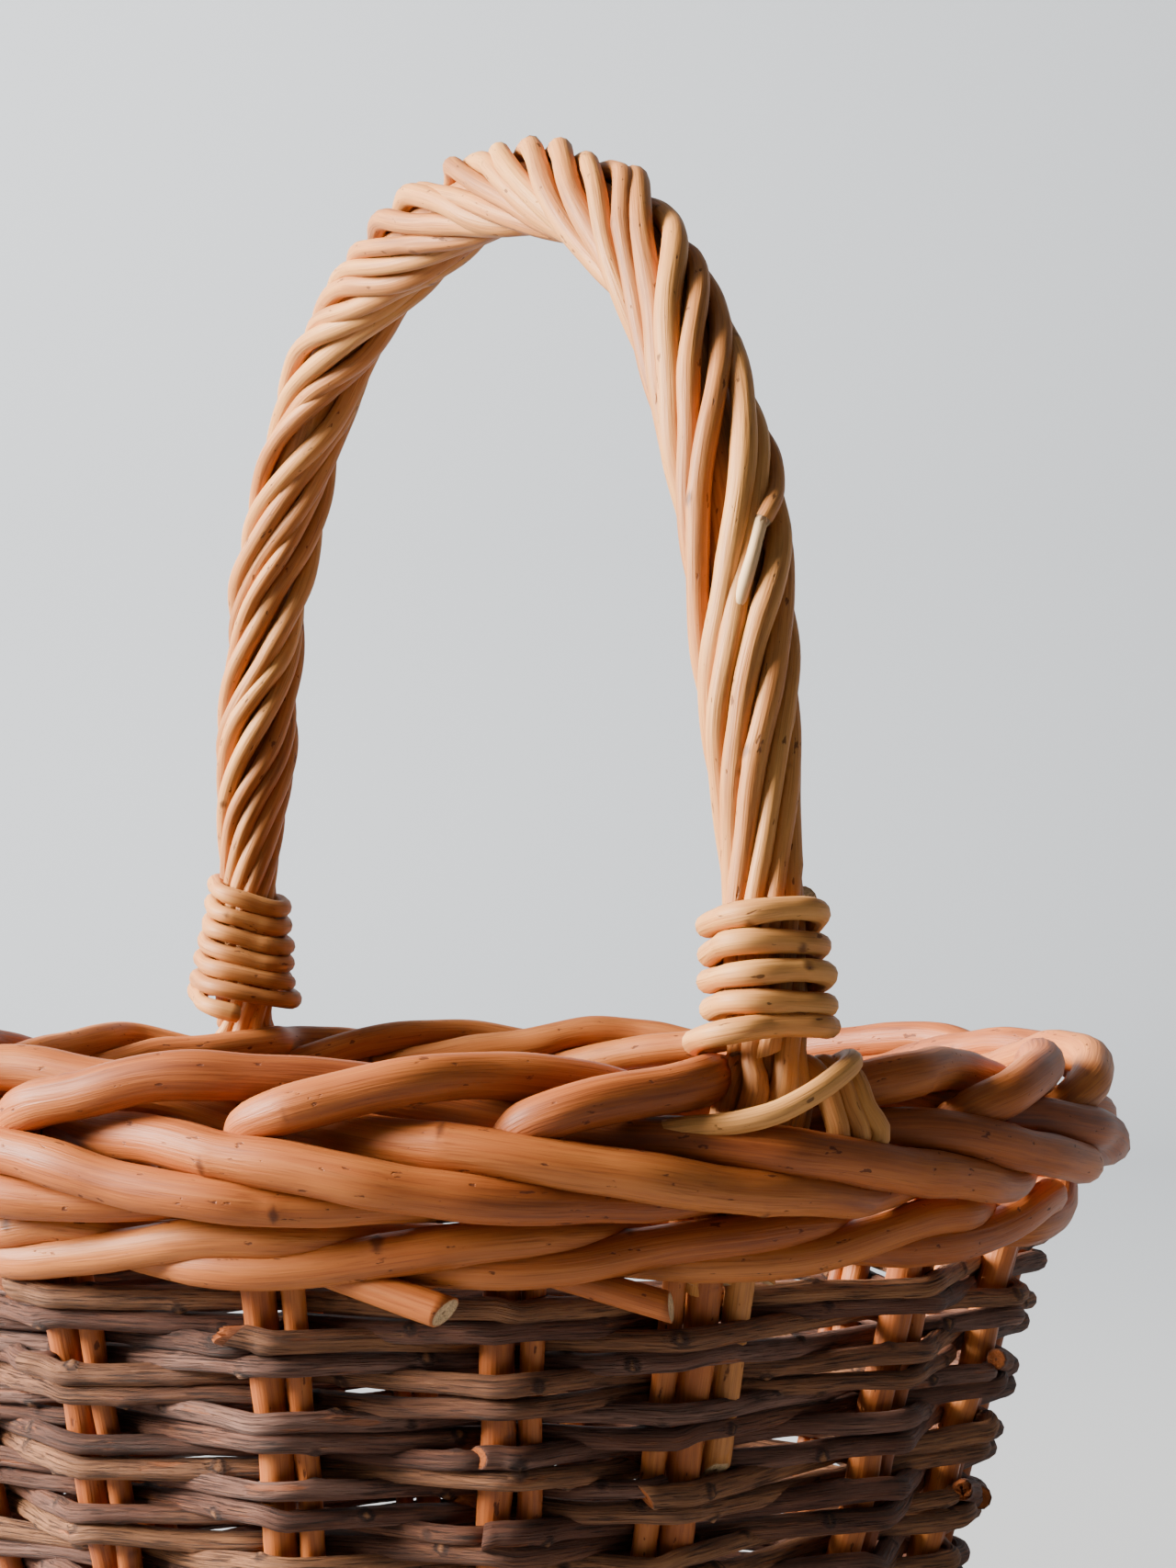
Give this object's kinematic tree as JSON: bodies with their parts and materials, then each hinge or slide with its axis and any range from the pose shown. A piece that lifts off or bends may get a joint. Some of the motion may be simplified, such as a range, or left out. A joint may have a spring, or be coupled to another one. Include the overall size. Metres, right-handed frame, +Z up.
{
  "type": "woven market basket",
  "caption": "Round flared willow basket with a rolled border and a fixed rope-twisted hoop handle, for carrying goods over the arm.",
  "frame": {"origin": "on the table, under the middle of the round base", "axes": "+Z up; the handle's two feet stand on the X axis, so its hoop lies in the XZ plane; +Y to the open side"},
  "size_m": [0.3576, 0.3516, 0.4581],
  "materials": {
    "buff_willow": "buffed willow rods, stained orange-brown by their boiled bark, satin",
    "handle_willow": "peeled willow rods, honey coloured, satin",
    "brown_willow": "willow rods with their bark on, grey-brown, matt"
  },
  "bodies": {
    "root": {"stake_01": "buff_willow", "stake_02": "buff_willow", "stake_03": "buff_willow", "stake_04": "buff_willow", "stake_05": "buff_willow", "stake_06": "buff_willow", "stake_07": "buff_willow", "stake_08": "buff_willow", "stake_09": "buff_willow", "stake_10": "buff_willow", "stake_11": "buff_willow", "stake_12": "buff_willow", "stake_13": "buff_willow", "stake_14": "buff_willow", "stake_15": "buff_willow", "stake_16": "buff_willow", "stake_17": "buff_willow", "stake_18": "buff_willow", "weave_row_01": "brown_willow", "weave_row_02": "brown_willow", "weave_row_03": "brown_willow", "weave_row_04": "brown_willow", "weave_row_05": "brown_willow", "weave_row_06": "brown_willow", "weave_row_07": "brown_willow", "weave_row_08": "brown_willow", "weave_row_09": "brown_willow", "weave_row_10": "brown_willow", "weave_row_11": "brown_willow", "weave_row_12": "brown_willow", "weave_row_13": "brown_willow", "weave_row_14": "brown_willow", "weave_row_15": "brown_willow", "weave_row_16": "brown_willow", "weave_row_17": "brown_willow", "weave_row_18": "brown_willow", "foot_wale": "brown_willow", "top_wale": "buff_willow", "handle_bow": "handle_willow", "rope_rod_1": "handle_willow", "rope_rod_2": "handle_willow", "rope_rod_3": "handle_willow", "rope_rod_4": "handle_willow", "rope_rod_5": "handle_willow", "rope_rod_6": "handle_willow", "rope_rod_7": "handle_willow", "rope_rod_8": "handle_willow", "rope_rod_9": "handle_willow", "foot_binding_right": "handle_willow", "foot_binding_left": "handle_willow", "base_split_stick_1": "buff_willow", "base_through_stick_1": "buff_willow", "base_split_stick_2": "buff_willow", "base_through_stick_2": "buff_willow", "base_split_stick_3": "buff_willow", "base_through_stick_3": "buff_willow", "base_split_stick_4": "buff_willow", "base_through_stick_4": "buff_willow", "base_tying_weave": "brown_willow", "base_outer_weave": "brown_willow"}
  },
  "joints": []
}
